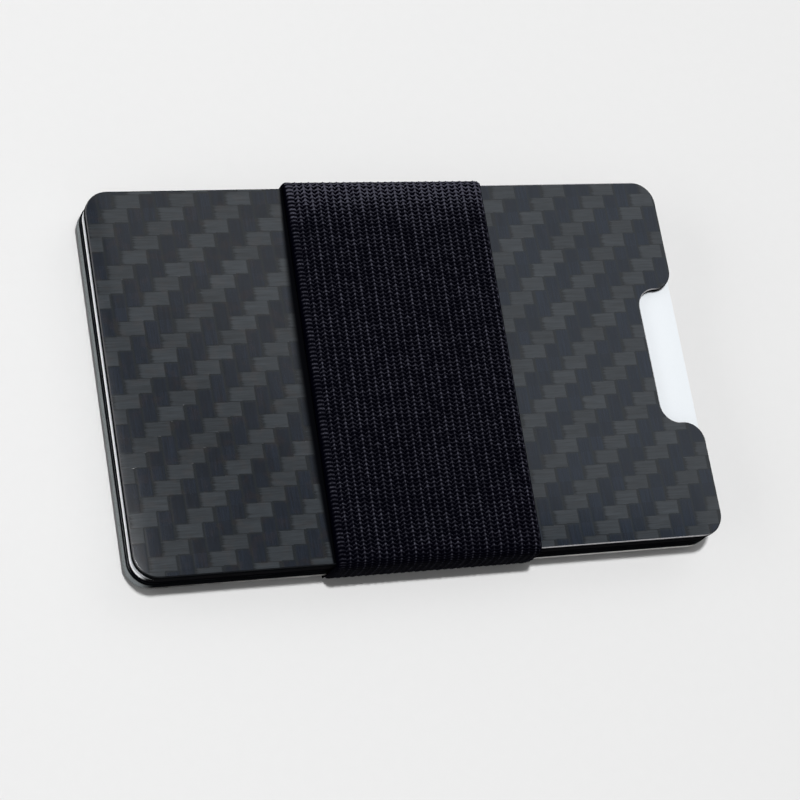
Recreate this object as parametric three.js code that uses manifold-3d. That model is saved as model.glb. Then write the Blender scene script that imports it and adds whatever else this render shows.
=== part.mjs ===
// Minimalist card wallet: two notched carbon-fibre plates, a loop of wide elastic round them, and three cards.
//
// Frame: millimetres, +Z up. The wallet lies on its back. +X runs along the plates towards the finger notch,
// +Y across them, and the origin is at the middle of the base, on the surface that the elastic rests on.

import * as THREE from 'three';
import Module from 'manifold-3d';
import { mergeVertices } from 'three/addons/utils/BufferGeometryUtils.js';

const manifold = await Module();
manifold.setup();

// ---------------------------------------------------------------- driving dimensions

// Bank card of the standard ID-1 size.
const CARD_LENGTH = 85.6;
const CARD_WIDTH = 53.98;
const CARD_THICKNESS = 0.76;
const CARD_CORNER = 3.18;

// The plates stand a little past the cards all round.
const PLATE_MARGIN_X = 0.2;
const PLATE_MARGIN_Y = 0.15;
const FRONT_THICKNESS = 1.1;
const BACK_THICKNESS = 2.2;
const PLATE_CHAMFER = 0.12;

// Finger notch at the +X end of both plates.
const NOTCH_DEPTH = 6;
const NOTCH_WIDTH = 20.4;
const NOTCH_LIP_RADIUS = 3;
const NOTCH_ROOT_RADIUS = 2.8;

// Wide woven elastic, stretched round the plates.
const BAND_WIDTH = 30;
const BAND_THICKNESS = 0.9;
const BAND_ROUND = 1.1;
const BAND_SHIFT = -0.2;
const BAND_SKEW = 0.02;

// Butt seam on the back: the two ends of the elastic meet, and one zigzag thread on each face joins them.
const SEAM_Y = -9;
const SEAM_GAP = 0.3;
const STITCH_REACH = 3.2;
const STITCH_PITCH = 2.8;
const STITCH_END_MARGIN = 1.6;
const THREAD_WIDTH = 0.5;
const THREAD_DEPTH = 0.28;
const THREAD_CLEARANCE = 0.06;

// Clear space between two flat layers, and between the plates' long edges and the elastic.
const LAYER_GAP = 0.03;

const ARC_SEGMENTS = 6;

// Cards from the front plate down. Each lies where it was last pushed to.
const CARDS = [
  { name: 'card_1', shift: 0.15, colour: 0xf2f5f8 },
  { name: 'card_2', shift: -0.05, colour: 0xf2f5f8 },
  { name: 'card_3', shift: 0, colour: 0x0d0e11 },
];

// ---------------------------------------------------------------- sizes that follow

const PLATE_LENGTH = CARD_LENGTH + 2 * PLATE_MARGIN_X;
const PLATE_WIDTH = CARD_WIDTH + 2 * PLATE_MARGIN_Y;
const PLATE_CORNER = CARD_CORNER + Math.min(PLATE_MARGIN_X, PLATE_MARGIN_Y);

const BACK_BOTTOM = BAND_THICKNESS + LAYER_GAP;
const CARDS_BOTTOM = BACK_BOTTOM + BACK_THICKNESS + LAYER_GAP;
const CARD_STEP = CARD_THICKNESS + LAYER_GAP;
const FRONT_BOTTOM = CARDS_BOTTOM + CARDS.length * CARD_STEP;
const FRONT_TOP = FRONT_BOTTOM + FRONT_THICKNESS;
const BAND_TOP = FRONT_TOP + LAYER_GAP + BAND_THICKNESS;
const BAND_HALF_DEPTH = PLATE_WIDTH / 2 + LAYER_GAP + BAND_THICKNESS;
const INNER_THREAD_BOTTOM = BAND_THICKNESS - THREAD_DEPTH;

// ---------------------------------------------------------------- materials

const carbonFibre = new THREE.MeshStandardMaterial({ color: 0x3b3e42, roughness: 0.38, metalness: 0 });
const wovenElastic = new THREE.MeshStandardMaterial({ color: 0x0c0d12, roughness: 0.9, metalness: 0 });
const sewingThread = new THREE.MeshStandardMaterial({ color: 0x15161b, roughness: 0.8, metalness: 0 });

function cardPlastic(colour) {
  return new THREE.MeshStandardMaterial({ color: colour, roughness: 0.45, metalness: 0 });
}

// ---------------------------------------------------------------- outlines

const QUARTER = Math.PI / 2;

function roundedRectangle(length, width, radius) {
  const x = length / 2 - radius;
  const y = width / 2 - radius;
  const outline = new THREE.Shape();
  outline.absarc(x, -y, radius, -QUARTER, 0);
  outline.absarc(x, y, radius, 0, QUARTER);
  outline.absarc(-x, y, radius, QUARTER, 2 * QUARTER);
  outline.absarc(-x, -y, radius, 2 * QUARTER, 3 * QUARTER);
  outline.closePath();
  return outline;
}

// A rounded rectangle with a finger notch in its +X end. The notch's lips are convex and its roots concave.
function plateOutline() {
  const x = PLATE_LENGTH / 2 - PLATE_CORNER;
  const y = PLATE_WIDTH / 2 - PLATE_CORNER;
  const lipX = PLATE_LENGTH / 2 - NOTCH_LIP_RADIUS;
  const lipY = NOTCH_WIDTH / 2 + NOTCH_LIP_RADIUS;
  const rootX = PLATE_LENGTH / 2 - NOTCH_DEPTH + NOTCH_ROOT_RADIUS;
  const rootY = NOTCH_WIDTH / 2 - NOTCH_ROOT_RADIUS;
  const outline = new THREE.Shape();
  outline.absarc(x, -y, PLATE_CORNER, -QUARTER, 0);
  outline.absarc(lipX, -lipY, NOTCH_LIP_RADIUS, 0, QUARTER);
  outline.absarc(rootX, -rootY, NOTCH_ROOT_RADIUS, 3 * QUARTER, 2 * QUARTER, true);
  outline.absarc(rootX, rootY, NOTCH_ROOT_RADIUS, 2 * QUARTER, QUARTER, true);
  outline.absarc(lipX, lipY, NOTCH_LIP_RADIUS, -QUARTER, 0);
  outline.absarc(x, y, PLATE_CORNER, 0, QUARTER);
  outline.absarc(-x, y, PLATE_CORNER, QUARTER, 2 * QUARTER);
  outline.absarc(-x, -y, PLATE_CORNER, 2 * QUARTER, 3 * QUARTER);
  outline.closePath();
  return outline;
}

// The elastic seen along X, as one strip: round the outside from the seam, then back along the inside.
function bandOutline() {
  const outer = BAND_HALF_DEPTH;
  const inner = BAND_HALF_DEPTH - BAND_THICKNESS;
  const right = SEAM_Y + SEAM_GAP / 2;
  const left = SEAM_Y - SEAM_GAP / 2;
  const low = BAND_ROUND;
  const high = BAND_TOP - BAND_ROUND;
  const outline = new THREE.Shape();
  outline.moveTo(right, 0);
  outline.lineTo(outer - BAND_ROUND, 0);
  outline.absarc(outer - BAND_ROUND, low, BAND_ROUND, -QUARTER, 0);
  outline.absarc(outer - BAND_ROUND, high, BAND_ROUND, 0, QUARTER);
  outline.absarc(-outer + BAND_ROUND, high, BAND_ROUND, QUARTER, 2 * QUARTER);
  outline.absarc(-outer + BAND_ROUND, low, BAND_ROUND, 2 * QUARTER, 3 * QUARTER);
  outline.lineTo(left, 0);
  outline.lineTo(left, BAND_THICKNESS);
  outline.lineTo(-inner, BAND_THICKNESS);
  outline.lineTo(-inner, BAND_TOP - BAND_THICKNESS);
  outline.lineTo(inner, BAND_TOP - BAND_THICKNESS);
  outline.lineTo(inner, BAND_THICKNESS);
  outline.lineTo(right, BAND_THICKNESS);
  outline.closePath();
  return outline;
}

// A zigzag along X whose legs cross the seam. spread widens the thread on both sides and at both ends.
function zigzagOutline(spread) {
  const length = BAND_WIDTH - 2 * STITCH_END_MARGIN;
  const legs = 2 * Math.round(length / STITCH_PITCH);
  const leg = length / legs;
  const halfAcross = THREAD_WIDTH / 2 + spread;
  const halfAlongY = halfAcross * Math.hypot(1, STITCH_REACH / leg);
  const lower = [];
  const upper = [];
  for (let i = 0; i <= legs; i += 1) {
    const overrun = (i === legs) * spread - (i === 0) * spread;
    const x = BAND_SHIFT - length / 2 + i * leg + overrun;
    const y = SEAM_Y + ((i % 2) - 0.5) * STITCH_REACH;
    lower.push(new THREE.Vector2(x, y - halfAlongY));
    upper.unshift(new THREE.Vector2(x, y + halfAlongY));
  }
  return new THREE.Shape([...lower, ...upper]);
}

// ---------------------------------------------------------------- solids

function layer(outline, thickness, bottom) {
  const geometry = new THREE.ExtrudeGeometry(outline, {
    depth: thickness,
    bevelEnabled: false,
    curveSegments: ARC_SEGMENTS,
  });
  return geometry.translate(0, 0, bottom);
}

function chamferedLayer(outline, thickness, bottom) {
  const geometry = new THREE.ExtrudeGeometry(outline, {
    depth: thickness - 2 * PLATE_CHAMFER,
    bevelSize: PLATE_CHAMFER,
    bevelOffset: -PLATE_CHAMFER,
    bevelThickness: PLATE_CHAMFER,
    bevelSegments: 1,
    curveSegments: ARC_SEGMENTS,
  });
  return geometry.translate(0, 0, bottom + PLATE_CHAMFER);
}

function toSolid(geometry) {
  const bare = geometry.clone();
  bare.deleteAttribute('normal');
  bare.deleteAttribute('uv');
  const merged = mergeVertices(bare, 1e-5);
  const mesh = new manifold.Mesh({
    numProp: 3,
    vertProperties: new Float32Array(merged.attributes.position.array),
    triVerts: new Uint32Array(merged.index.array),
  });
  return new manifold.Manifold(mesh);
}

function toGeometry(solid) {
  const mesh = solid.getMesh();
  const geometry = new THREE.BufferGeometry();
  geometry.setAttribute('position', new THREE.BufferAttribute(new Float32Array(mesh.vertProperties), 3));
  geometry.setIndex(new THREE.BufferAttribute(new Uint32Array(mesh.triVerts), 1));
  return geometry;
}

// The elastic sits a little askew on the plates: its X grows with Y.
function skewed(geometry) {
  return geometry.applyMatrix4(new THREE.Matrix4().makeShear(0, 0, BAND_SKEW, 0, 0, 0));
}

function thread(bottom) {
  return layer(zigzagOutline(0), THREAD_DEPTH, bottom);
}

function threadGroove(bottom) {
  return toSolid(layer(zigzagOutline(THREAD_CLEARANCE), THREAD_DEPTH + 2 * THREAD_CLEARANCE, bottom));
}

function bandStrip() {
  const strip = new THREE.ExtrudeGeometry(bandOutline(), {
    depth: BAND_WIDTH,
    bevelEnabled: false,
    curveSegments: ARC_SEGMENTS,
  });
  const alongX = new THREE.Matrix4().makeBasis(
    new THREE.Vector3(0, 1, 0),
    new THREE.Vector3(0, 0, 1),
    new THREE.Vector3(1, 0, 0),
  );
  strip.applyMatrix4(alongX);
  return strip.translate(BAND_SHIFT - BAND_WIDTH / 2, 0, 0);
}

// The threads lie sunk in grooves in the elastic's two faces.
function elasticBand() {
  const outerGroove = threadGroove(-THREAD_CLEARANCE);
  const innerGroove = threadGroove(INNER_THREAD_BOTTOM - THREAD_CLEARANCE);
  return toGeometry(toSolid(bandStrip()).subtract(outerGroove).subtract(innerGroove));
}

// ---------------------------------------------------------------- the wallet

const wallet = new THREE.Group();

function addPiece(name, geometry, material) {
  const piece = new THREE.Mesh(geometry, material);
  piece.name = name;
  wallet.add(piece);
}

addPiece('back_plate', chamferedLayer(plateOutline(), BACK_THICKNESS, BACK_BOTTOM), carbonFibre.clone());

CARDS.forEach((card, index) => {
  const bottom = CARDS_BOTTOM + (CARDS.length - 1 - index) * CARD_STEP;
  const outline = roundedRectangle(CARD_LENGTH, CARD_WIDTH, CARD_CORNER);
  const blank = layer(outline, CARD_THICKNESS, bottom).translate(card.shift, 0, 0);
  addPiece(card.name, blank, cardPlastic(card.colour));
});

addPiece('front_plate', chamferedLayer(plateOutline(), FRONT_THICKNESS, FRONT_BOTTOM), carbonFibre.clone());
addPiece('elastic_band', skewed(elasticBand()), wovenElastic);
addPiece('seam_thread_outer', skewed(thread(0)), sewingThread.clone());
addPiece('seam_thread_inner', skewed(thread(INNER_THREAD_BOTTOM)), sewingThread.clone());

export default wallet;
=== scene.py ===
# %% [markdown]
# # A slim card wallet
#
# Two carbon-fibre plates, three cards between them, and one wide loop of black elastic that holds the
# stack together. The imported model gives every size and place. This script makes the finishes and the
# finer shapes round it: softened edges, the weave of the carbon, and the elastic with its real ribs,
# loops and seam.
#
# The frame comes first, because every place below is read from it.

# %% Load the frame
import math

import bmesh
import bpy
import numpy as np
from mathutils import Matrix, Vector


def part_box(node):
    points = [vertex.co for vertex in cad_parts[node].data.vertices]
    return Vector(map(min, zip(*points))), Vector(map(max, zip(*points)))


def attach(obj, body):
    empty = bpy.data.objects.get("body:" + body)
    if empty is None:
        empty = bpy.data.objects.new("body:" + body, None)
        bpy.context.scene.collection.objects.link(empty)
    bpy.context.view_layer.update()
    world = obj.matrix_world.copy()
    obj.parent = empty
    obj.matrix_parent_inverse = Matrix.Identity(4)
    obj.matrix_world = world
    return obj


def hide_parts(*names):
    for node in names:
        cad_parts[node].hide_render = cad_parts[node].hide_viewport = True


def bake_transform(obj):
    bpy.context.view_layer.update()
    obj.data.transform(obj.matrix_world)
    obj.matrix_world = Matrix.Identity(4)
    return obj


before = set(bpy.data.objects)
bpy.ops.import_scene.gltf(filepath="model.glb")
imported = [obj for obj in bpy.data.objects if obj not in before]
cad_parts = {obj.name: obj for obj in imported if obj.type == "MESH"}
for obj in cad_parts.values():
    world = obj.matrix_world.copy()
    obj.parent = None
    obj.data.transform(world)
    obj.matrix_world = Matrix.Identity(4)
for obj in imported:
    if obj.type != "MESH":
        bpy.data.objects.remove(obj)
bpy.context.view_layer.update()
MM = 0.001

# %% [markdown]
# ## The camera
#
# A small object that is seen from close by keeps little perspective when the lens is long, so this is a
# 110 mm lens about a third of a metre away. The camera could be turned by three angles, but a maker
# thinks of it as standing somewhere, looking at a point, and being rolled until the long edges lie nearly
# level. The roll is large, because the camera looks from a corner and yet the wallet lies nearly square
# in the view.

# %% Camera
CAMERA_AZIMUTH = -51.37
CAMERA_ELEVATION = 61.82
CAMERA_ROLL = 44.86
CAMERA_DISTANCE = 0.3352
CAMERA_LENS = 110.1
SENSOR_WIDTH = 36
NEAREST_SEEN = 0.01
CAMERA_LOOKS_AT = Vector((-0.00255, -0.00473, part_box("front_plate")[1][2]))


def direction(azimuth, elevation):
    """The way from the object to a point seen at these angles. Azimuth 0 stands on the -Y side."""
    turn = math.radians(azimuth)
    rise = math.radians(elevation)
    flat = math.cos(rise)
    return Vector((math.sin(turn) * flat, -math.cos(turn) * flat, math.sin(rise)))


def aim(place, target, roll=0.0):
    """A matrix that stands at place and looks at target, rolled about its own view line."""
    back = (place - target).normalized()
    right = Vector((0, 0, 1)).cross(back).normalized()
    up = back.cross(right)
    turn = math.radians(roll)
    rolled_right = right * math.cos(turn) + up * math.sin(turn)
    rolled_up = up * math.cos(turn) - right * math.sin(turn)
    turned = Matrix((rolled_right, rolled_up, back)).transposed().to_4x4()
    return Matrix.Translation(place) @ turned


camera_data = bpy.data.cameras.new("camera")
camera_data.lens = CAMERA_LENS
camera_data.sensor_width = SENSOR_WIDTH
camera_data.clip_start = NEAREST_SEEN
camera = bpy.data.objects.new("camera", camera_data)
bpy.context.scene.collection.objects.link(camera)
camera_place = CAMERA_LOOKS_AT + CAMERA_DISTANCE * direction(CAMERA_AZIMUTH, CAMERA_ELEVATION)
camera.matrix_world = aim(camera_place, CAMERA_LOOKS_AT, CAMERA_ROLL)
bpy.context.scene.camera = camera
print("camera stands at", [round(v / MM, 1) for v in camera_place], "mm")

# %% [markdown]
# ## Shader maths that reads as maths
#
# A procedural finish is a sum of small formulas. Blender spells each step as a node, which is hard to
# read in code. This small class wraps one socket and overloads the operators, so that `1 - mask * 0.5`
# adds its own Math nodes.

# %% A wire that takes part in sums
class Wire:
    """One shader socket that takes part in sums."""

    def __init__(self, sheet, socket):
        self.sheet = sheet
        self.socket = socket

    def maths(self, operation, *others):
        return self.sheet.maths(operation, self, *others)

    def __add__(self, other):
        return self.maths("ADD", other)

    def __radd__(self, other):
        return self.sheet.maths("ADD", other, self)

    def __sub__(self, other):
        return self.maths("SUBTRACT", other)

    def __rsub__(self, other):
        return self.sheet.maths("SUBTRACT", other, self)

    def __mul__(self, other):
        return self.maths("MULTIPLY", other)

    def __rmul__(self, other):
        return self.sheet.maths("MULTIPLY", other, self)

    def __truediv__(self, other):
        return self.maths("DIVIDE", other)

    def __pow__(self, other):
        return self.maths("POWER", other)

    def __mod__(self, other):
        return self.maths("FLOORED_MODULO", other)

    def __lt__(self, other):
        return self.maths("LESS_THAN", other)

    def __gt__(self, other):
        return self.maths("GREATER_THAN", other)

    def floor(self):
        return self.maths("FLOOR")

    def sine(self):
        return self.maths("SINE")

    def size(self):
        return self.maths("ABSOLUTE")

    def ramp(self, low, high):
        """A soft step that is 0 up to low and 1 from high on. low may be the greater one."""
        settings = {"interpolation_type": "SMOOTHSTEP"}
        return self.sheet.node(
            "ShaderNodeMapRange", settings, {"Value": self, "From Min": low, "From Max": high}
        )


print("wires are ready")

# %% [markdown]
# ### Sheets of nodes
#
# Wires are made by a sheet, which holds one node tree and has one method that adds any node. The sky
# needs no more than that. A finish is a sheet with a Principled shader, and a few short names for what
# most finishes need: a place in millimetres, soft noise, a random value for each cell, a colour between
# two others.

# %% Node sheets and finishes
class Sheet:
    """A node tree under construction."""

    def __init__(self, tree):
        self.tree = tree
        self.tree.nodes.clear()

    def node(self, kind, settings=None, sockets=None, output=0):
        """Adds a node: its settings first, then the values or wires of its sockets. Gives one output."""
        node = self.tree.nodes.new(kind)
        for name, value in (settings or {}).items():
            setattr(node, name, value)
        for name, value in (sockets or {}).items():
            self.feed(node.inputs[name], value)
        return Wire(self, node.outputs[output]) if node.outputs else None

    def feed(self, socket, value):
        if isinstance(value, Wire):
            self.tree.links.new(value.socket, socket)
        else:
            socket.default_value = value

    def maths(self, operation, *values):
        return self.node("ShaderNodeMath", {"operation": operation}, dict(enumerate(values)))


class Finish(Sheet):
    """A material under construction: its Principled shader, and one call for each node that feeds it."""

    def __init__(self, name, **constants):
        self.material = bpy.data.materials.new(name)
        self.material.use_nodes = True
        super().__init__(self.material.node_tree)
        values = {socket.replace("_", " "): value for socket, value in constants.items()}
        self.surface = self.node("ShaderNodeBsdfPrincipled", sockets=values)
        self.shader = self.surface.socket.node
        self.node("ShaderNodeOutputMaterial", {"name": "out"}, {"Surface": self.surface})

    def millimetres(self):
        """The point's X, Y and Z on the piece, in millimetres."""
        place = self.node("ShaderNodeTexCoord", output="Object")
        scaled = self.node("ShaderNodeVectorMath", {"operation": "SCALE"}, {0: place, "Scale": 1 / MM})
        return [self.node("ShaderNodeSeparateXYZ", sockets={0: scaled}, output=axis) for axis in "XYZ"]

    def noise(self, x, y, z, scale=1.0, detail=2.0):
        """Soft random values round one half."""
        place = self.node("ShaderNodeCombineXYZ", sockets={0: x, 1: y, 2: z})
        return self.node("ShaderNodeTexNoise", sockets={"Vector": place, "Scale": scale, "Detail": detail})

    def dice(self, x, y=0.0):
        """One random value from 0 to 1 for each whole-numbered place."""
        place = self.node("ShaderNodeCombineXYZ", sockets={0: x, 1: y, 2: 0.5})
        return self.node("ShaderNodeTexWhiteNoise", sockets={"Vector": place})

    def between(self, low, high, share):
        """A colour between two others. share is 0 at low and 1 at high."""
        return self.node("ShaderNodeMix", {"data_type": "RGBA"}, {0: share, 6: low, 7: high}, output=2)

    def shaded(self, colour, tone):
        """A colour made darker or lighter by a number."""
        return self.node("ShaderNodeVectorMath", {"operation": "SCALE"}, {0: colour, "Scale": tone})

    def added(self, one, other):
        """The sum of two colours."""
        return self.node("ShaderNodeVectorMath", {"operation": "ADD"}, {0: one, 1: other})

    def relief(self, height, depth, strength=1.0):
        """Bumps of a real depth in metres, from a height of 0 to 1."""
        sockets = {"Height": height, "Distance": depth, "Strength": strength}
        self.feed(self.shader.inputs["Normal"], self.node("ShaderNodeBump", sockets=sockets))

    def colour(self, value):
        self.feed(self.shader.inputs["Base Color"], value)

    def roughness(self, value):
        self.feed(self.shader.inputs["Roughness"], value)

    def dulled(self, share, colour):
        """Lays a matt film over the shader. share is 0 where there is none and 1 where it covers."""
        matt = {"Base Color": colour, "Roughness": 0.9, "Specular IOR Level": 0.0}
        film = self.node("ShaderNodeBsdfPrincipled", sockets=matt)
        covered = self.node("ShaderNodeMixShader", sockets={0: share, 1: self.surface, 2: film})
        self.feed(self.tree.nodes["out"].inputs["Surface"], covered)


def rgb(red, green, blue):
    return (red, green, blue, 1.0)


print("shader helpers are ready")

# %% [markdown]
# ## Carbon-fibre face
#
# The laminate's face is a 2x2 twill. Flat tows of fibre, 2 mm wide, pass over two and under two, and each
# row starts one tow further along, so that the twill runs in diagonals. An image could hold this, but a
# formula stays sharp at any size. The plane is cut into tow-wide cells. Counting column minus row, modulo
# four, says which tow lies on top, and how far along its float the point is.
#
# The crosswise tows look lighter, because their fibres turn the light towards the eye, and that light is
# painted into their colour. Each float is painted darker where it dives under its neighbour, sooner at
# its left end than at its right: painted shade. Fine streaks run along each tow, with glints painted
# lighter and creases painted darker. Cloth never lies quite straight in its mould, so the grid drifts by a
# tenth of a millimetre or two in a slow wave, and each float ends a little early or late. Clear resin
# covers it all with a satin skin. Towards the right the face is painted bluer and lighter, as painted
# light. Beside the elastic's left border a dark matt film is painted on the skin: painted shade and a
# painted dark reflection of the band's wall. It is narrowest at the plate's long edges and widest half way
# between them.

# %% Carbon-fibre face finish
TOW_ALONG_X = 1.995
TOW_ALONG_Y = 2.03
TWILL_START_X = 0.83
TWILL_START_Y = 0.38
COLUMN_LEAN = 0.0019
ROW_LEAN = 0.0098
ROW_STRETCH = 0.9976
DRIFT_REACH = 0.16
DRIFT_LENGTH = 74
DRIFT_START = 0.45
RAGGED_ENDS = 0.60
UNEVEN_ENDS = 0.22
GLINT_TONE = 0.16
CREASE_TONE = 0.22
WEFT_COLOUR = (0.0290, 0.0345, 0.0405)
WARP_COLOUR = (0.0066, 0.0105, 0.0182)
GAP_COLOUR = (0.0090, 0.0125, 0.0158)
WARM_CAST = (0.0040, 0.0014, 0.0000)
COOL_LIGHT_CAST = (0.0000, 0.0016, 0.0040)
FACE_RELIEF = 0.005 * MM
SMOOTHEST_SKIN = 0.178
SKIN_VARIES = 0.06
SHADE_AT_ENDS = 0.45
SHADE_BULGE = 1.35
SHADE_REACH = 2
SHADE_FILM_COLOUR = (0.0020, 0.0022, 0.0030)
HALF_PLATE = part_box("front_plate")[1][1] / MM
BAND_SLANT = 0.02
SLANT_AT_END = 0.56
BAND_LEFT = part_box("elastic_band")[0][0] / MM + SLANT_AT_END


def carbon_face():
    finish = Finish("carbon_twill_face", IOR=1.5)
    x, y, z = finish.millimetres()
    drift = DRIFT_REACH * (x * (2 * math.pi / DRIFT_LENGTH) + DRIFT_START).sine()
    across = (x + COLUMN_LEAN * y - TWILL_START_X) / TOW_ALONG_X
    along = (y * ROW_STRETCH - ROW_LEAN * x + drift - TWILL_START_Y) / TOW_ALONG_Y
    column = across.floor()
    row = along.floor()
    in_column = across - column
    in_row = along - row
    step = (column - row) % 4
    float_start = column - step
    uneven = finish.dice(row, float_start) - 0.5

    weft_streak = finish.noise(x * 0.25, y * 4.5, row * 3.7, detail=4)
    warp_streak = finish.noise(x * 4.5, y * 0.25, column * 3.7, detail=4)
    ragged = RAGGED_ENDS * (weft_streak - 0.5)
    weft_run = step + in_column + UNEVEN_ENDS * uneven
    weft_side = in_row + 0.05 * (in_column - 0.5) + 0.04 * uneven
    body = (weft_run + ragged).ramp(0.06, 0.36) * (weft_run + 0.2 * ragged).ramp(1.90, 1.82)
    body = body * weft_side.ramp(0.00, 0.06) * weft_side.ramp(1.02, 0.96)
    warp_run = 3 - step + in_row
    warp_side = (2 * in_column - 1).size()
    cover = (1 - warp_side.ramp(0.70, 1.0)) * warp_run.ramp(-0.02, 0.14) * warp_run.ramp(2.02, 1.86)
    on_warp = step > 1.5

    # Glints are painted lighter and creases darker along the crosswise tows.
    glint = finish.noise(x * 0.8, y * 16, row * 1.9, detail=2).ramp(0.58, 0.70)
    crease = finish.noise(x * 0.5, y * 13, row * 5.3, detail=2).ramp(0.60, 0.68)
    weft_tone = (0.42 + 1.16 * weft_streak) * (0.87 + 0.26 * finish.dice(float_start, row))
    weft_tone = weft_tone + GLINT_TONE * glint - CREASE_TONE * crease
    warp_tone = (0.25 + 1.50 * warp_streak) * (0.80 + 0.40 * finish.dice(column, row / 2))
    cloud = 0.90 + 0.20 * finish.noise(x * 0.05, y * 0.05, 0.0, detail=1)
    # Painted light: the face turns bluer and lighter towards the right, and its warm patches fade there.
    rightward = x.ramp(-8, 26)
    warmth = finish.noise(x * 0.55, y * 0.55, 4.0, detail=2).ramp(0.50, 0.66) * (1 - 0.7 * rightward)
    painted_cool_light = rightward * (0.35 + 0.85 * on_warp)
    casts = finish.added(finish.shaded(WARM_CAST, warmth), finish.shaded(COOL_LIGHT_CAST, painted_cool_light))

    # The weft is painted lighter than the warp and darker where each float dives: painted reflection and
    # painted shade.
    warp = finish.between(rgb(*GAP_COLOUR), finish.shaded(WARP_COLOUR, warp_tone), on_warp * cover)
    weft = finish.shaded(WEFT_COLOUR, weft_tone)
    under = finish.between(warp, finish.shaded(weft, 0.45), (1 - on_warp) * 0.35)
    cloth = finish.shaded(finish.between(under, weft, body * (1 - on_warp)), cloud)
    finish.colour(finish.added(cloth, casts))
    skin = finish.noise(x, y, z, scale=5, detail=3)
    crown = (1 - on_warp) * body + on_warp * cover
    finish.relief(0.65 * crown + 0.35 * skin, depth=FACE_RELIEF)
    finish.roughness(SMOOTHEST_SKIN + SKIN_VARIES * skin)
    # Painted shade: a dark matt film beside the elastic's left border, standing in for the band's shade and
    # its dark reflection.
    from_band = BAND_LEFT + BAND_SLANT * y - x
    shade_width = SHADE_AT_ENDS + SHADE_BULGE * (1 - (y / HALF_PLATE) * (y / HALF_PLATE))
    painted_shade = (from_band / shade_width).ramp(1.0, 0.3) * (from_band > -SHADE_REACH)
    finish.dulled(painted_shade, rgb(*SHADE_FILM_COLOUR))
    return finish.material


face_of_carbon = carbon_face()
print("made", face_of_carbon.name, "with", len(face_of_carbon.node_tree.nodes), "nodes")

# %% [markdown]
# ## Cut edge of the laminate
#
# A plate is cut from a sheet of many plies, so its edge shows thin level lines, one for each ply, with
# dark specks where a bundle was cut across. The lines are a wave of the height. The walls are matt and
# dark, as cut carbon is, and painted darker still, to near black, as shade. The middle of each short end
# of the back plate is painted a paler grey green, standing in for light on that end. The lowest plies of
# the long edges carry a thin pale line, lighter towards the right: a painted highlight. The narrow
# chamfers round the front plate have a finish of their own: a painted highlight makes them pale from the
# middle towards the notch, and faintly at the left end, and they stay dark elsewhere. Those of the back
# plate are as dark as its walls, so they share the walls' finish.

# %% Cut edge finish
PLY_THICKNESS = 0.22
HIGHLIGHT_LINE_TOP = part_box("back_plate")[0][2] / MM + 0.80
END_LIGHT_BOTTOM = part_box("back_plate")[0][2] / MM + 0.16
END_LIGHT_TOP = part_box("back_plate")[1][2] / MM - 0.42
EDGE_BLACK = (0.0040, 0.0044, 0.0052)
END_LIGHT_COLOUR = (0.225, 0.243, 0.250)
HIGHLIGHT_LINE_COLOUR = (0.62, 0.61, 0.60)
EDGE_RELIEF = 0.012 * MM
CHAMFER_BLACK = (0.006, 0.007, 0.009)
CHAMFER_HIGHLIGHT = (0.62, 0.61, 0.63)
HIGHLIGHT_AT_NOTCH = 0.60
HIGHLIGHT_AT_LEFT = 0.12


def carbon_edge():
    finish = Finish("carbon_cut_edge", IOR=1.5, Specular_IOR_Level=0.0)
    x, y, z = finish.millimetres()
    drift = finish.noise(x * 0.4, y * 0.4, z, scale=1.0)
    ply = ((z + 0.12 * drift) * (2 * math.pi / PLY_THICKNESS)).sine() * 0.5 + 0.5
    grain = finish.noise(x * 5, y * 5, z * 14, detail=4)
    speck = (finish.noise(x * 2.2, y * 2.2, z * 6, detail=1) > 0.66) * 0.55
    tone = (0.40 + 0.30 * ply + 0.9 * grain) * (1 - speck)
    blotch = finish.noise(x * 0.6, y * 0.35, z * 1.2, detail=3)
    at_end = x.size().ramp(39.6, 42.0)
    # The walls are painted near black as shade. The middle of each short end of the back plate is painted a
    # paler grey green, standing in for light.
    above = z.ramp(END_LIGHT_BOTTOM - 0.1, END_LIGHT_BOTTOM + 0.15)
    below = z.ramp(END_LIGHT_TOP + 0.1, END_LIGHT_TOP - 0.1)
    end_light = (at_end * (above * below) * (0.45 + 1.2 * blotch)).maths("MINIMUM", 1.0)
    wall = finish.between(rgb(*EDGE_BLACK), rgb(*END_LIGHT_COLOUR), end_light)
    broken = finish.noise(x * 0.5, y * 0.5, 0.0)
    # Painted highlight: a thin pale line low on the long walls, lighter towards the right.
    line_highlight = ((z < HIGHLIGHT_LINE_TOP) * (1 - at_end) * (0.42 + 0.5 * broken + 0.012 * x)).maths("MINIMUM", 1.0)
    finish.colour(finish.between(finish.shaded(wall, tone), rgb(*HIGHLIGHT_LINE_COLOUR), line_highlight))
    finish.relief(0.5 * ply + 0.5 * grain, depth=EDGE_RELIEF)
    finish.roughness(0.42 + 0.20 * grain)
    return finish.material


def carbon_chamfer():
    finish = Finish("carbon_chamfer", IOR=1.5, Specular_IOR_Level=0.10)
    x, y, z = finish.millimetres()
    grain = finish.noise(x * 2, y * 2, z * 8, detail=3)
    # Painted highlight: the chamfer turns pale from the middle towards the notch, and a little at the left
    # end.
    towards_notch = x.ramp(-6, 10) * (1 - x.ramp(39, 41.5))
    at_left = x.ramp(-41.5, -42.7)
    chamfer_highlight = (HIGHLIGHT_AT_NOTCH * towards_notch + HIGHLIGHT_AT_LEFT * at_left) * (0.6 + 0.8 * grain)
    chamfer_highlight = chamfer_highlight.maths("MINIMUM", 1.0)
    finish.colour(finish.between(rgb(*CHAMFER_BLACK), rgb(*CHAMFER_HIGHLIGHT), chamfer_highlight))
    finish.roughness(0.45 + 0.20 * grain)
    return finish.material


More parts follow.
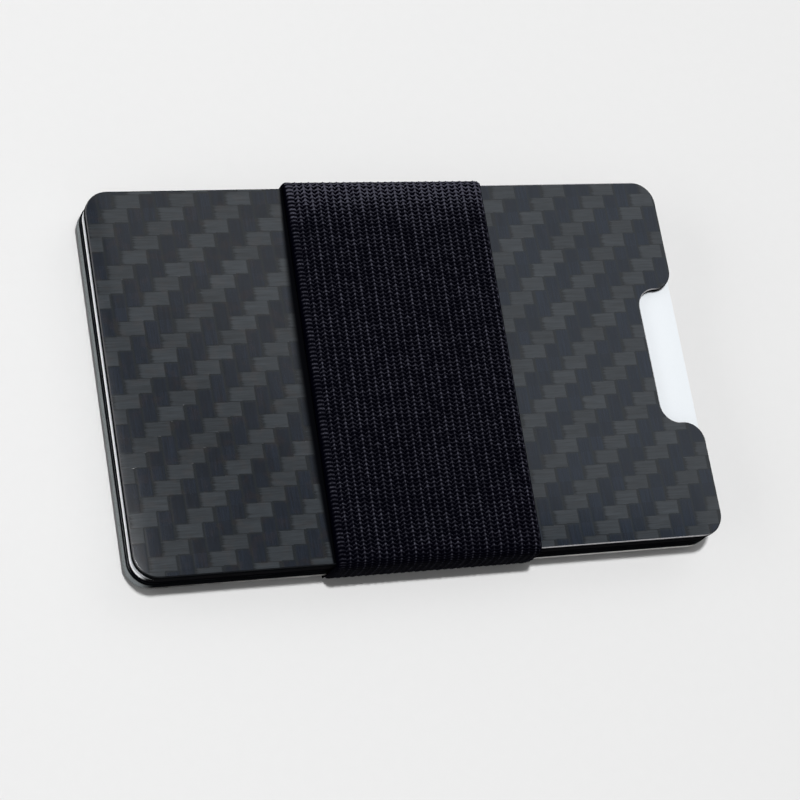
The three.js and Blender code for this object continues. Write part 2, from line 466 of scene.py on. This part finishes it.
edge_of_carbon = carbon_edge()
chamfer_of_carbon = carbon_chamfer()
print("made", edge_of_carbon.name, "and", chamfer_of_carbon.name)

# %% [markdown]
# ## Cards
#
# A card is a sandwich of plastic sheets under a satin film. Its face is nearly even, with a very fine
# orange peel. Its punched edge is matt and shows the layers as faint lines. Along the two long sides the
# edge is painted nearly black: painted shade. Each finish is made once for the white cards and once for
# the dark one.

# %% Card finishes
LONG_EDGE = 26.0
SHADE_FADE = 0.8
CARD_LAYER = 0.19
PEEL_RELIEF = 0.004 * MM
LAYER_RELIEF = 0.01 * MM


def card_face(name, face, gloss):
    finish = Finish(name, IOR=1.5, Specular_IOR_Level=gloss)
    x, y, z = finish.millimetres()
    peel = finish.noise(x, y, z, scale=2.5, detail=4)
    finish.colour(finish.shaded(face, 0.985 + 0.03 * peel))
    finish.relief(peel, depth=PEEL_RELIEF)
    finish.roughness(0.36 + 0.12 * peel)
    return finish.material


def card_edge(name, core, line, long_edge_shade):
    """The last argument is the colour painted on the long edges as shade."""
    finish = Finish(name, IOR=1.5, Specular_IOR_Level=0.0)
    x, y, z = finish.millimetres()
    layers = ((z * (2 * math.pi / CARD_LAYER)).sine() * 0.5 + 0.5) ** 6
    smudge = finish.noise(x * 0.22, y, z * 3, detail=3)
    # Painted shade: both long edges are painted nearly black.
    painted_shade = y.size().ramp(LONG_EDGE, LONG_EDGE + SHADE_FADE) * (0.90 + 0.3 * smudge)
    edged = finish.between(core, line, layers * 0.5)
    finish.colour(finish.between(edged, long_edge_shade, painted_shade.maths("MINIMUM", 1.0)))
    finish.relief(layers, depth=LAYER_RELIEF)
    finish.roughness(0.52 + 0.16 * smudge)
    return finish.material


white_face = card_face("white_card_face", (0.85, 0.89, 0.925), 0.5)
long_edge_shade_black = rgb(0.008, 0.008, 0.009)
white_edge = card_edge("white_card_edge", rgb(0.92, 0.93, 0.95), rgb(0.78, 0.80, 0.83), long_edge_shade_black)
black_face = card_face("black_card_face", (0.006, 0.006, 0.008), 0.4)
jet = rgb(0.003, 0.003, 0.004)
black_edge = card_edge("black_card_edge", jet, rgb(0.006, 0.006, 0.007), jet)
print("made", white_face.name, white_edge.name, black_face.name, "and", black_edge.name)

# %% [markdown]
# ## Plates and cards with softened edges
#
# The frame's plates and cards have the right outlines, but their arrises are razor sharp, and no real
# arris is. A new slab takes the outline from the frame's mesh, and a narrow bevel rounds every arris, so
# that each edge catches a thread of light. The small facets of each corner arc are merged into smooth
# shading. The upper and lower sides take the face finish, the walls take the edge finish, and the sloping
# chamfers between them take the third finish of the list.

# %% Slabs from the frame
ARRIS_OF_PLATE = 0.035 * MM
ARRIS_OF_CARD = 0.06 * MM
ARRIS_STEPS = 3
LEVEL = 0.97
UPRIGHT = 0.3


def softened(node, name, arris, finishes):
    """A copy of a frame slab with rounded arrises. finishes are those of its faces, walls and chamfers."""
    shape = bmesh.new()
    shape.from_mesh(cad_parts[node].data)
    bmesh.ops.remove_doubles(shape, verts=shape.verts, dist=0.001 * MM)
    bmesh.ops.dissolve_limit(shape, angle_limit=math.radians(1), verts=shape.verts, edges=shape.edges)
    sharp = [e for e in shape.edges if e.calc_face_angle(0) > math.radians(30)]
    bmesh.ops.bevel(
        shape, geom=sharp, offset=arris, segments=ARRIS_STEPS, profile=0.5,
        affect="EDGES", clamp_overlap=True,
    )
    bmesh.ops.triangulate(shape, faces=[f for f in shape.faces if len(f.verts) > 4])
    for f in shape.faces:
        f.smooth = True
        slope = abs(f.normal.z)
        f.material_index = 0 if slope > LEVEL else 1 if slope < UPRIGHT else 2
    mesh = bpy.data.meshes.new(name)
    shape.to_mesh(mesh)
    shape.free()
    mesh.set_sharp_from_angle(angle=math.radians(38))
    for finish in finishes:
        mesh.materials.append(finish)
    slab = bpy.data.objects.new(name, mesh)
    bpy.context.scene.collection.objects.link(slab)
    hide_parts(node)
    print("made", name, "with", len(mesh.polygons), "faces")
    return slab


front_finishes = [face_of_carbon, edge_of_carbon, chamfer_of_carbon]
back_finishes = [face_of_carbon, edge_of_carbon, edge_of_carbon]
front_laminate = softened("front_plate", "front_laminate", ARRIS_OF_PLATE, front_finishes)
back_laminate = softened("back_plate", "back_laminate", ARRIS_OF_PLATE, back_finishes)
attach(front_laminate, "front")
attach(back_laminate, "back")

white_finishes = [white_face, white_edge, white_edge]
first_white = softened("card_1", "first_white_card", ARRIS_OF_CARD, white_finishes)
second_white = softened("card_2", "second_white_card", ARRIS_OF_CARD, white_finishes)
dark_finishes = [black_face, black_edge, black_edge]
dark_card = softened("card_3", "dark_card", ARRIS_OF_CARD, dark_finishes)
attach(first_white, "first_card")
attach(second_white, "second_card")
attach(dark_card, "third_card")

# %% [markdown]
# ## The elastic
#
# Wide elastic is woven over rubber cores. From close by it is a field of ribs, about 1 mm apart, that run
# the long way round the wallet. Each rib is a chain of small knuckles, and fine threads run from knuckle
# to knuckle with a droop between the ribs. Along each border the threads turn back, and make a row of
# short crosswise loops.
#
# A bump map would fake this until the band turns over the plates' edges, where the knuckles show against
# the background. So the ribs are real shape here: one strip of mesh, fine enough for about four stations
# to a row and eight points to a rib, is carried round the loop and pushed in and out by a formula.
#
# The loop is walked once, at the outer surface, as five flat spans with a rounded corner between each
# two. It starts and ends at the seam on the back, which cuts the back's span in two.

# %% The loop's course
BAND_WIDTH = 30 * MM
BAND_ROUND = 1.1 * MM
SEAM_GAP = 0.3 * MM
ROW_PITCH = 0.585 * MM
STATIONS_PER_ROW = 4
LAYER_GAP = 0.03 * MM
HAIR = 1e-12

band_low, band_high = (Vector(corner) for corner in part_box("elastic_band"))
band_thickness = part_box("back_plate")[0][2] - LAYER_GAP
half_depth = (band_high.y - band_low.y) / 2
band_middle = (band_low.x + band_high.x) / 2
band_skew = (band_high.x - band_low.x - BAND_WIDTH) / (2 * half_depth)
thread_low, thread_high = (Vector(corner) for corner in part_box("seam_thread_outer"))
seam_y = (thread_low.y + thread_high.y) / 2
print("elastic:", round(band_thickness / MM, 2), "mm thick, skew", round(band_skew, 4))


def loop_course():
    """The lengths of the flat spans of the outer surface, in order from the seam round to the seam."""
    flat = 2 * (half_depth - BAND_ROUND)
    upright = band_high.z - 2 * BAND_ROUND
    first = half_depth - BAND_ROUND - (seam_y + SEAM_GAP / 2)
    last = flat - first - SEAM_GAP
    return [first, upright, flat, upright, last]


def walk_loop(distance):
    """Places and outward normals in the YZ plane at distances along the outer surface."""
    y, z, heading = seam_y + SEAM_GAP / 2, 0.0, 0.0
    places = np.zeros((len(distance), 2))
    normals = np.zeros((len(distance), 2))
    covered = 0.0
    spans = loop_course()
    corner = BAND_ROUND * math.pi / 2
    for index, span in enumerate(spans):
        ahead = np.array((math.cos(heading), math.sin(heading)))
        outward = np.array((ahead[1], -ahead[0]))
        here = (distance >= covered - HAIR) & (distance <= covered + span + HAIR)
        places[here] = (y, z) + np.outer(distance[here] - covered, ahead)
        normals[here] = outward
        y, z = np.array((y, z)) + ahead * span
        covered += span
        if index == len(spans) - 1:
            break
        centre = np.array((y, z)) - outward * BAND_ROUND
        here = (distance > covered) & (distance < covered + corner)
        turn = (distance[here] - covered) / BAND_ROUND
        spoke = np.outer(np.cos(turn), outward) + np.outer(np.sin(turn), ahead)
        places[here] = centre + spoke * BAND_ROUND
        normals[here] = spoke
        y, z = centre + ahead * BAND_ROUND
        covered += corner
        heading += math.pi / 2
    return places, normals


loop_length = sum(loop_course()) + 4 * BAND_ROUND * math.pi / 2
print("the loop is", round(loop_length / MM, 1), "mm round its outer surface")

# %% [markdown]
# ### The weave as a height
#
# The height of the surface is a function of two counts: which rib, and which row. Along the crest of a
# rib a knuckle swells once a row. From each knuckle two arms droop to either side and meet the
# neighbours' arms in the valley, and between one row of arms and the next lies a dark hole. The higher of
# knuckle and arm shows. Along the left border, each row ends in one wide loop that arches over and turns
# down round the edge, while the right border is a narrow cord. Slow waves, in place of dice, keep the
# rows from looking printed.
#
# The same formula is wanted twice: on arrays of numbers for the mesh, and on wires for the colour, which
# then stays sharp between the mesh's points. Four small helpers accept either, so it is written only
# once.

# %% Height of the weave
SELVEDGE = 1.45
RIGHT_SELVEDGE = 0.45
RIB_COUNT = 27
HALF_BAND = BAND_WIDTH / MM / 2
RIB_SPACE = (2 * HALF_BAND - SELVEDGE - RIGHT_SELVEDGE) / RIB_COUNT
RIB_HEIGHT = 0.17 * MM
POINTS_PER_RIB = 8
DROOP = 0.45
KNUCKLE_WIDTH = 0.48
KNUCKLE_LOW = 0.27
ARM_HEIGHT = 0.56
LOOP_HEIGHT = 0.80
LOOP_ARCH = 0.55
CORD_LOW = 0.30
CORD_SWELL = 0.40
BORDER_FADE = 0.10


def sine(value):
    return value.sine() if isinstance(value, Wire) else np.sin(value)


def floor(value):
    return value.floor() if isinstance(value, Wire) else np.floor(value)


def size(value):
    return value.size() if isinstance(value, Wire) else np.abs(value)


def higher(one, other):
    return one.maths("MAXIMUM", other) if isinstance(one, Wire) else np.maximum(one, other)


def clipped(value):
    return 1 - higher(1 - higher(value, 0.0), 0.0)


def swell(count):
    """A smooth pulse that is 1 at whole numbers and 0 half way between them."""
    return sine(count * (2 * math.pi) + math.pi / 2) * 0.5 + 0.5


def weave_height(across, along):
    """Height from 0 to 1 at a place across the band, from its middle, and along it, in millimetres."""
    row = along / (ROW_PITCH / MM)
    count = (across + (HALF_BAND - SELVEDGE)) / RIB_SPACE
    rib = floor(count)
    off_rib = size(count - rib - 0.5) * 2
    lag = sine(rib * 2.39) * 0.16 + sine(rib * 0.83) * 0.24
    row_here = row + lag + 0.06 * sine(count * 1.7 + along * 0.53)
    bell = higher(1 - (off_rib / KNUCKLE_WIDTH) ** 2, 0.0) ** 2.2
    along_crest = KNUCKLE_LOW + (1 - KNUCKLE_LOW) * higher(swell(row_here), 0.0) ** 1.5
    knuckle = bell * along_crest * (1 + 0.14 * sine(rib * 3.7))
    arm = ARM_HEIGHT * higher(swell(row_here - DROOP * off_rib), 0.0) ** 2.6 * (1 - 0.25 * off_rib)
    field = higher(knuckle, arm)
    share = clipped((HALF_BAND + across) / SELVEDGE)
    arch = LOOP_ARCH * ((share - 0.62) / 0.6) ** 2
    loop = 0.10 + 0.90 * higher(swell(row - arch), 0.0) ** 1.6
    loops = LOOP_HEIGHT * loop * clipped((share - 0.10) / 0.35) * (1 - 0.25 * share)
    cord = CORD_LOW + CORD_SWELL * swell(row * 0.5)
    left = clipped((0 - across - (HALF_BAND - SELVEDGE)) / BORDER_FADE)
    right = clipped((across - (HALF_BAND - RIGHT_SELVEDGE)) / BORDER_FADE)
    return higher(field * (1 - left) * (1 - right) + loops * left + cord * right, 0.0)


def wander(distance, seed, reach):
    """A slow, seeded wave along the loop."""
    draw = np.random.default_rng(seed)
    wave = np.zeros_like(distance)
    turn = distance / loop_length * 2 * math.pi
    for cycles in (3, 7, 13):
        wave = wave + np.sin(turn * cycles + draw.uniform(0, 6.28)) / cycles
    return reach * wave


print("weave of", RIB_COUNT, "ribs and", round(loop_length / ROW_PITCH), "rows")

# %% [markdown]
# ### The strip
#
# Across the band the strip is a flat oval: an outer face with the weave, a half-round selvedge at each
# border, and a plain inner face that lies on the plates. Every ring of that oval is one station of the
# loop. A second formula presses the strip in where the seam's thread crosses it. The near edge of the
# wallet carries the pull of the hand, so the strip is squashed a little rounder over its two corners there,
# and its right border is pulled thinner at the far edge. The two ends are closed, a hair apart, as they
# meet at the seam.

# %% The strip's section, squash and stitches
SELVEDGE_STEPS = 6
BORDER_POINTS = 7
INNER_POINTS = 8
SEAM_PRESS = 0.30 * MM
FOLD_REACH = 8 * MM
FOLD_LIGHT = 2.5
NEAR_SHADE = 0.35
NEAR_SQUASH = (0.33 * MM, 0.48 * MM)
NEAR_REACH = (1.1 * MM, 1.7 * MM)
NEAR_FADE = 2.6 * MM
FAR_RIGHT_THIN = 0.22 * MM
WANDER_SEED = 3
WANDER_REACH = 0.05 * MM
STITCH_WIDTH = 0.26 * MM
STITCH_SLANT = 0.39
STITCH_REACH = 3.2 * MM
STITCH_MARGIN = 1.6 * MM
STITCH_PITCH = 2.8 * MM
STITCH_LEGS = 2 * round((BAND_WIDTH - 2 * STITCH_MARGIN) / STITCH_PITCH)


def oval():
    """Points round the strip's section: side from the middle, depth below the outer face, tilt outward."""
    radius = band_thickness / 2
    edge = BAND_WIDTH / 2 - radius
    first_rib = -BAND_WIDTH / 2 + SELVEDGE * MM
    last_rib = BAND_WIDTH / 2 - RIGHT_SELVEDGE * MM
    border = np.linspace(-edge, first_rib, BORDER_POINTS + 1)[:-1]
    ribs = np.linspace(first_rib, last_rib, RIB_COUNT * POINTS_PER_RIB + 1)
    top = np.concatenate((border, ribs))
    count = len(top)
    turn = np.linspace(0, math.pi, SELVEDGE_STEPS + 2)[1:-1]
    inner = np.linspace(edge, -edge, INNER_POINTS)
    side = np.concatenate((top, edge + radius * np.sin(turn), inner, -edge - radius * np.sin(turn)))
    depth = np.concatenate((
        np.zeros(count), radius * (1 - np.cos(turn)), np.full(INNER_POINTS, 2 * radius),
        radius * (1 + np.cos(turn)),
    ))
    sideways = np.concatenate((np.zeros(count), np.sin(turn), np.zeros(INNER_POINTS), -np.sin(turn)))
    outward = np.concatenate((np.ones(count), np.cos(turn), -np.ones(INNER_POINTS), -np.cos(turn)))
    return side, depth, sideways, outward


def stitch_side(leg_count):
    """Where the zigzag is across the band after a number of legs."""
    return -(BAND_WIDTH / 2 - STITCH_MARGIN) + leg_count * (BAND_WIDTH - 2 * STITCH_MARGIN) / STITCH_LEGS


def stitch_press(side, off_seam):
    """How deeply the zigzag thread presses the strip, from 0 to 1."""
    legs = (side + BAND_WIDTH / 2 - STITCH_MARGIN) / (BAND_WIDTH - 2 * STITCH_MARGIN) * STITCH_LEGS
    swing = np.abs((legs % 2) - 1)
    off_thread = np.abs(off_seam - (0.5 - swing) * STITCH_REACH) * STITCH_SLANT
    inside = (legs > -0.2) & (legs < STITCH_LEGS + 0.2)
    return np.where(inside, np.exp(-((off_thread / STITCH_WIDTH) ** 2)), 0.0)


def near_squash(distance):
    """How much thinner each station is over the near edge's upper and lower corner."""
    corner = BAND_ROUND * math.pi / 2
    middles = np.cumsum(np.array(loop_course()[:4]) + corner) - corner / 2
    squash = np.zeros_like(distance)
    for middle, depth, reach in zip(middles[2:], NEAR_SQUASH, NEAR_REACH):
        squash = squash + depth * np.exp(-(((distance - middle) / reach) ** 2))
    return squash


print("a ring of the strip has", len(oval()[0]), "points, and the stitch has", STITCH_LEGS, "legs")

# %% [markdown]
# ### From rings to a mesh
#
# The strip and the threads are both tubes: rings of points, each joined to the next. A curve with a bevel
# could sweep them, but it can't carry a spiral groove or push single points in and out. So one helper
# lists the faces between the rings, and another makes a smooth object of them.

# %% Tubes
def tube_faces(stations, ring, clockwise):
    """Joins rings of points into a closed tube. clockwise is how a ring runs, seen from the start."""
    around = np.arange(ring)
    after = (around + 1) % ring
    start = np.arange(stations - 1)[:, None] * ring
    corners = [start + around, start + after, start + ring + after, start + ring + around]
    first = list(range(ring))
    last = list(range((stations - 1) * ring, stations * ring))
    if clockwise:
        corners = [corners[0], corners[3], corners[2], corners[1]]
        ends = [first, last[::-1]]
    else:
        ends = [first[::-1], last]
    return np.stack(corners, axis=-1).reshape(-1, 4).tolist() + ends


def smooth_piece(name, points, faces):
    mesh = bpy.data.meshes.new(name)
    mesh.from_pydata(points.tolist(), [], faces)
    mesh.shade_smooth()
    piece = bpy.data.objects.new(name, mesh)
    bpy.context.scene.collection.objects.link(piece)
    return piece


print("tube helpers are ready")

# %% [markdown]
# ### The elastic itself
#
# Every station's ring is placed on the loop, then sunk by the weave, the stitches and the squash. The mesh
# also keeps two things for the colour at every point: its place in the weave, and the light and shade
# painted on its knuckles there.

# %% Build the strip
def painted_knuckle_light(places, normals, outward, press):
    """The light and shade painted on the knuckles at each point: about 1 on the flats."""
    y = places[:, :1]
    # Painted light and shade: darker on walls, borders, stitches and the near fold, lighter before the far
    # fold and towards the far edge.
    upright = np.clip((np.abs(normals[:, 1:]) - 0.15) / 0.6, 0, 1)
    far_fold = np.clip((y - (half_depth - FOLD_REACH)) / FOLD_REACH, 0, 1) ** 2
    near_fold = np.clip((-y - (half_depth - NEAR_FADE)) / NEAR_FADE, 0, 1)
    knuckle_light = (0.85 + 0.15 * upright) * np.clip(outward, 0, 1) ** 1.5 * (1 - 0.6 * press)
    knuckle_light = knuckle_light * (1 + FOLD_LIGHT * far_fold * upright) * (1 - NEAR_SHADE * near_fold)
    return knuckle_light * (0.97 + 0.05 * y / half_depth)


def elastic_strip():
    stations = int(round(loop_length / ROW_PITCH * STATIONS_PER_ROW)) + 1
    distance = np.linspace(0, loop_length, stations)
    places, normals = walk_loop(distance)
    side, depth, sideways, outward = oval()
    ring = len(side)
    side_grid = np.tile(side, (stations, 1))
    distance_grid = np.tile(distance[:, None], (1, ring))
    height = np.clip(weave_height(side_grid / MM, distance_grid / MM), 0, 1)
    outer_half = np.clip(outward * 1.5 + 0.2, 0, 1)
    from_seam = np.minimum(distance_grid, loop_length - distance_grid)
    signed = np.where(distance_grid < loop_length / 2, from_seam, -from_seam)
    press = stitch_press(side_grid, signed) * (np.abs(signed) < STITCH_REACH)
    sunk = RIB_HEIGHT * (1 - height) * outer_half + SEAM_PRESS * press * outer_half
    thin = np.clip(places[:, :1] / half_depth, 0, 1) ** 8 * np.clip(0.5 + side_grid / BAND_WIDTH, 0, 1)
    sunk = sunk + FAR_RIGHT_THIN * thin * outer_half
    sunk = sunk + near_squash(distance)[:, None] * outer_half
    down = depth[None, :] + sunk * np.where(outward > 0, 1, 0)[None, :]
    wave = wander(distance, WANDER_SEED, WANDER_REACH)[:, None]
    x = band_middle + side_grid - sideways[None, :] * sunk * 0.5 + wave * np.abs(side_grid) / BAND_WIDTH
    y = places[:, :1] - normals[:, :1] * down
    z = places[:, 1:] - normals[:, 1:] * down
    x = x + band_skew * y
    points = np.stack((x, y, z), axis=-1).reshape(-1, 3)
    piece = smooth_piece("woven_elastic", points, tube_faces(stations, ring, clockwise=False))

    knuckle_light = painted_knuckle_light(places, normals, outward, press)
    place = np.stack((side_grid / MM, distance_grid / MM, knuckle_light), axis=-1)
    yarn = piece.data.attributes.new("weave_place_and_light", "FLOAT_VECTOR", "POINT")
    yarn.data.foreach_set("vector", place.reshape(-1).astype(np.float32))
    print("made woven_elastic:", stations, "stations of", ring, "points")
    return piece


woven_elastic = elastic_strip()

# %% [markdown]
# ### The elastic's yarn
#
# The yarn is dull black polyester with a faint blue cast. What lifts it out of pure black is the light on
# the knuckles, while the gaps between them swallow light. The mesh carries each point's place in the
# weave, so the colour can work out the same height and paint that light and shade in: nearly black in the
# gaps, dark grey on the crowns. The mesh also carries a share of painted light: the knuckles are painted
# darker on the strip's walls and borders, over the near fold and along the stitches, and lighter just
# before the far fold and a little towards the far edge. Fine filaments give the last grain.

# %% Yarn finish
GAP_BLACK = (0.0001, 0.0001, 0.0016)
CROWN_GREY = (0.066, 0.066, 0.088)
YARN_RELIEF = 0.02 * MM


def black_yarn(name, has_weave):
    finish = Finish(name, IOR=1.45, Specular_IOR_Level=0.01)
    x, y, z = finish.millimetres()
    filament = finish.noise(x * 3, y * 3, z * 3, scale=1.6, detail=4)
    if has_weave:
        place = finish.node("ShaderNodeAttribute", {"attribute_name": "weave_place_and_light"}, output="Vector")
        split = [finish.node("ShaderNodeSeparateXYZ", sockets={0: place}, output=axis) for axis in "XYZ"]
        across, along, knuckle_light = split
        height = weave_height(across, along)
        knot = finish.dice((across / RIB_SPACE).floor(), (along / (ROW_PITCH / MM)).floor())
        # The painted light and shade carried on the mesh scales the height.
        height = height * knuckle_light * (0.72 + 0.56 * knot)
    else:
        height = 0.45 + 0.4 * filament
    # Painted highlight on the crowns and painted shade in the gaps.
    share = (height ** 2.0) * (0.42 + 1.16 * filament.ramp(0.36, 0.64))
    finish.colour(finish.between(rgb(*GAP_BLACK), rgb(*CROWN_GREY), share))
    finish.relief(filament, depth=YARN_RELIEF, strength=0.6)
    finish.roughness(0.60 + 0.25 * filament)
    return finish.material


woven_elastic.data.materials.append(black_yarn("black_woven_yarn", has_weave=True))
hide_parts("elastic_band")
back_middle = (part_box("back_plate")[0][2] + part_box("back_plate")[1][2]) / 2
front_middle = (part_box("front_plate")[0][2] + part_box("front_plate")[1][2]) / 2
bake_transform(woven_elastic)
stretch_heights = [round(height / MM, 2) for height in (back_middle, front_middle)]
print("the elastic stretches between these heights in mm:", stretch_heights)

# %% [markdown]
# ## The seam's threads
#
# The elastic's two ends butt against each other on the back, a little to one side of its middle, and a
# zigzag stitch joins them. The needle's thread lies on the outer face and the bobbin's thread on the inner
# face, each pressed into the weave by its own tension. A thread is two yarns twisted together, so each
# zigzag is swept from a round section that carries a spiral groove, and dips at its points, where it goes
# through the elastic to the other side.

# %% Sewing thread
THREAD_RADIUS = 0.13 * MM
THREAD_SIDES = 10
STEPS_PER_LEG = 22
TWIST_PER_MM = 0.9
GROOVE = 0.16
DIP = 0.1 * MM
DIP_SHARE = 0.08


def zigzag_thread(name, node, base, dip):
    """A twisted thread along the zigzag. base is its middle's height, and dip how far its points move."""
    steps = STITCH_LEGS * STEPS_PER_LEG
    legs = np.linspace(0, STITCH_LEGS, steps + 1)
    swing = np.abs((legs % 2) - 1)
    y = seam_y + (0.5 - swing) * STITCH_REACH
    x = band_middle + stitch_side(legs) + band_skew * y
    z = base + dip * (np.abs(legs - np.round(legs)) < DIP_SHARE)
    course = np.stack((x, y, z), axis=1)
    ahead = np.gradient(course, axis=0)
    ahead /= np.linalg.norm(ahead, axis=1, keepdims=True)
    right = np.cross(ahead, (0, 0, 1))
    right /= np.linalg.norm(right, axis=1, keepdims=True)
    over = np.cross(right, ahead)
    run = np.concatenate(((0,), np.cumsum(np.linalg.norm(np.diff(course, axis=0), axis=1))))
    angle = np.linspace(0, 2 * math.pi, THREAD_SIDES, endpoint=False)[None, :]
    twist = run[:, None] / MM * TWIST_PER_MM * 2 * math.pi
    radius = THREAD_RADIUS * (1 - GROOVE * np.abs(np.sin(angle + twist)) ** 4)
    out = right[:, None] * np.cos(angle)[..., None] + over[:, None] * np.sin(angle)[..., None]
    points = (course[:, None] + out * radius[..., None]).reshape(-1, 3)
    piece = smooth_piece(name, points, tube_faces(steps + 1, THREAD_SIDES, clockwise=True))
    piece.data.materials.append(thread_finish)
    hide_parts(node)
    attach(piece, "back")
    print("made", name, "with", STITCH_LEGS, "legs,", round(run[-1] / MM), "mm of thread")


thread_finish = black_yarn("black_sewing_thread", has_weave=False)
zigzag_thread("needle_thread", "seam_thread_outer", thread_low.z + THREAD_RADIUS, DIP)
bobbin_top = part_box("seam_thread_inner")[1][2]
zigzag_thread("bobbin_thread", "seam_thread_inner", bobbin_top - THREAD_RADIUS, -DIP)

# %% [markdown]
# ## Floor, light and colour
#
# A plain pale table and soft studio light. The light has four parts: a sky that is brightest at the
# horizon, so that nothing is black by accident; a small soft light nearly overhead, which lights the
# floor and gives the thin shadow under the near edge; a wide low one on the left, which brings up the
# stack's end; and a wide one on the far side, which the clear resin and the top of the elastic throw
# back. The colour is shown as it is, with no contrast added, so that the pale floor stays neutral.

# %% Floor and light
HORIZON = 0.32
ZENITH = 0.06
KEY_POWER = 11.0
KEY_WIDTH = 0.09
MIRROR_POWER = 3.5
SIDE_POWER = 8.8
FLOOR_REACH = 3.0
FLOOR_GREY = rgb(0.80, 0.80, 0.80)
FLOOR_PALE = rgb(0.815, 0.815, 0.815)


def pale_floor():
    finish = Finish("pale_table", Roughness=0.7, IOR=1.3)
    x, y, z = finish.millimetres()
    grain = finish.noise(x, y, z, scale=0.6, detail=3)
    finish.colour(finish.between(FLOOR_GREY, FLOOR_PALE, grain))
    mesh = bpy.data.meshes.new("table_top")
    corners = [(-1, -1), (1, -1), (1, 1), (-1, 1)]
    mesh.from_pydata([(FLOOR_REACH * x, FLOOR_REACH * y, 0) for x, y in corners], [], [(0, 1, 2, 3)])
    mesh.materials.append(finish.material)
    table = bpy.data.objects.new("table_top", mesh)
    bpy.context.scene.collection.objects.link(table)


def soft_light(name, azimuth, elevation, distance, width, height, power):
    """A rectangular soft light that faces the wallet."""
    data = bpy.data.lights.new(name, "AREA")
    data.shape = "RECTANGLE"
    data.size = width
    data.size_y = height
    data.energy = power
    lamp = bpy.data.objects.new(name, data)
    bpy.context.scene.collection.objects.link(lamp)
    lamp.matrix_world = aim(distance * direction(azimuth, elevation), Vector((0, 0, 0)))
    print("light", name, "at", [round(v, 2) for v in lamp.matrix_world.translation], "m")


pale_floor()
soft_light("overhead_softbox", 230, 82.2, 1.2, KEY_WIDTH, KEY_WIDTH, KEY_POWER)
soft_light("left_softbox", -90, 19, 1.6, 1.90, 0.95, SIDE_POWER)
soft_light("far_softbox", 128, 47, 1.8, 1.50, 1.10, MIRROR_POWER)
sky = bpy.data.worlds.new("studio_sky")
sky.use_nodes = True
sheet = Sheet(sky.node_tree)
way = sheet.node("ShaderNodeTexCoord", output="Generated")
upward = sheet.node("ShaderNodeSeparateXYZ", sockets={0: way}, output="Z")
glow = HORIZON + (ZENITH - HORIZON) * upward.maths("MAXIMUM", 0.0)
background = sheet.node("ShaderNodeBackground", sockets={"Color": rgb(1.0, 1.0, 1.0), "Strength": glow})
sheet.node("ShaderNodeOutputWorld", sockets={"Surface": background})
bpy.context.scene.world = sky
bpy.context.scene.view_settings.view_transform = "Standard"
bpy.context.scene.view_settings.look = "None"
print("stage is set")
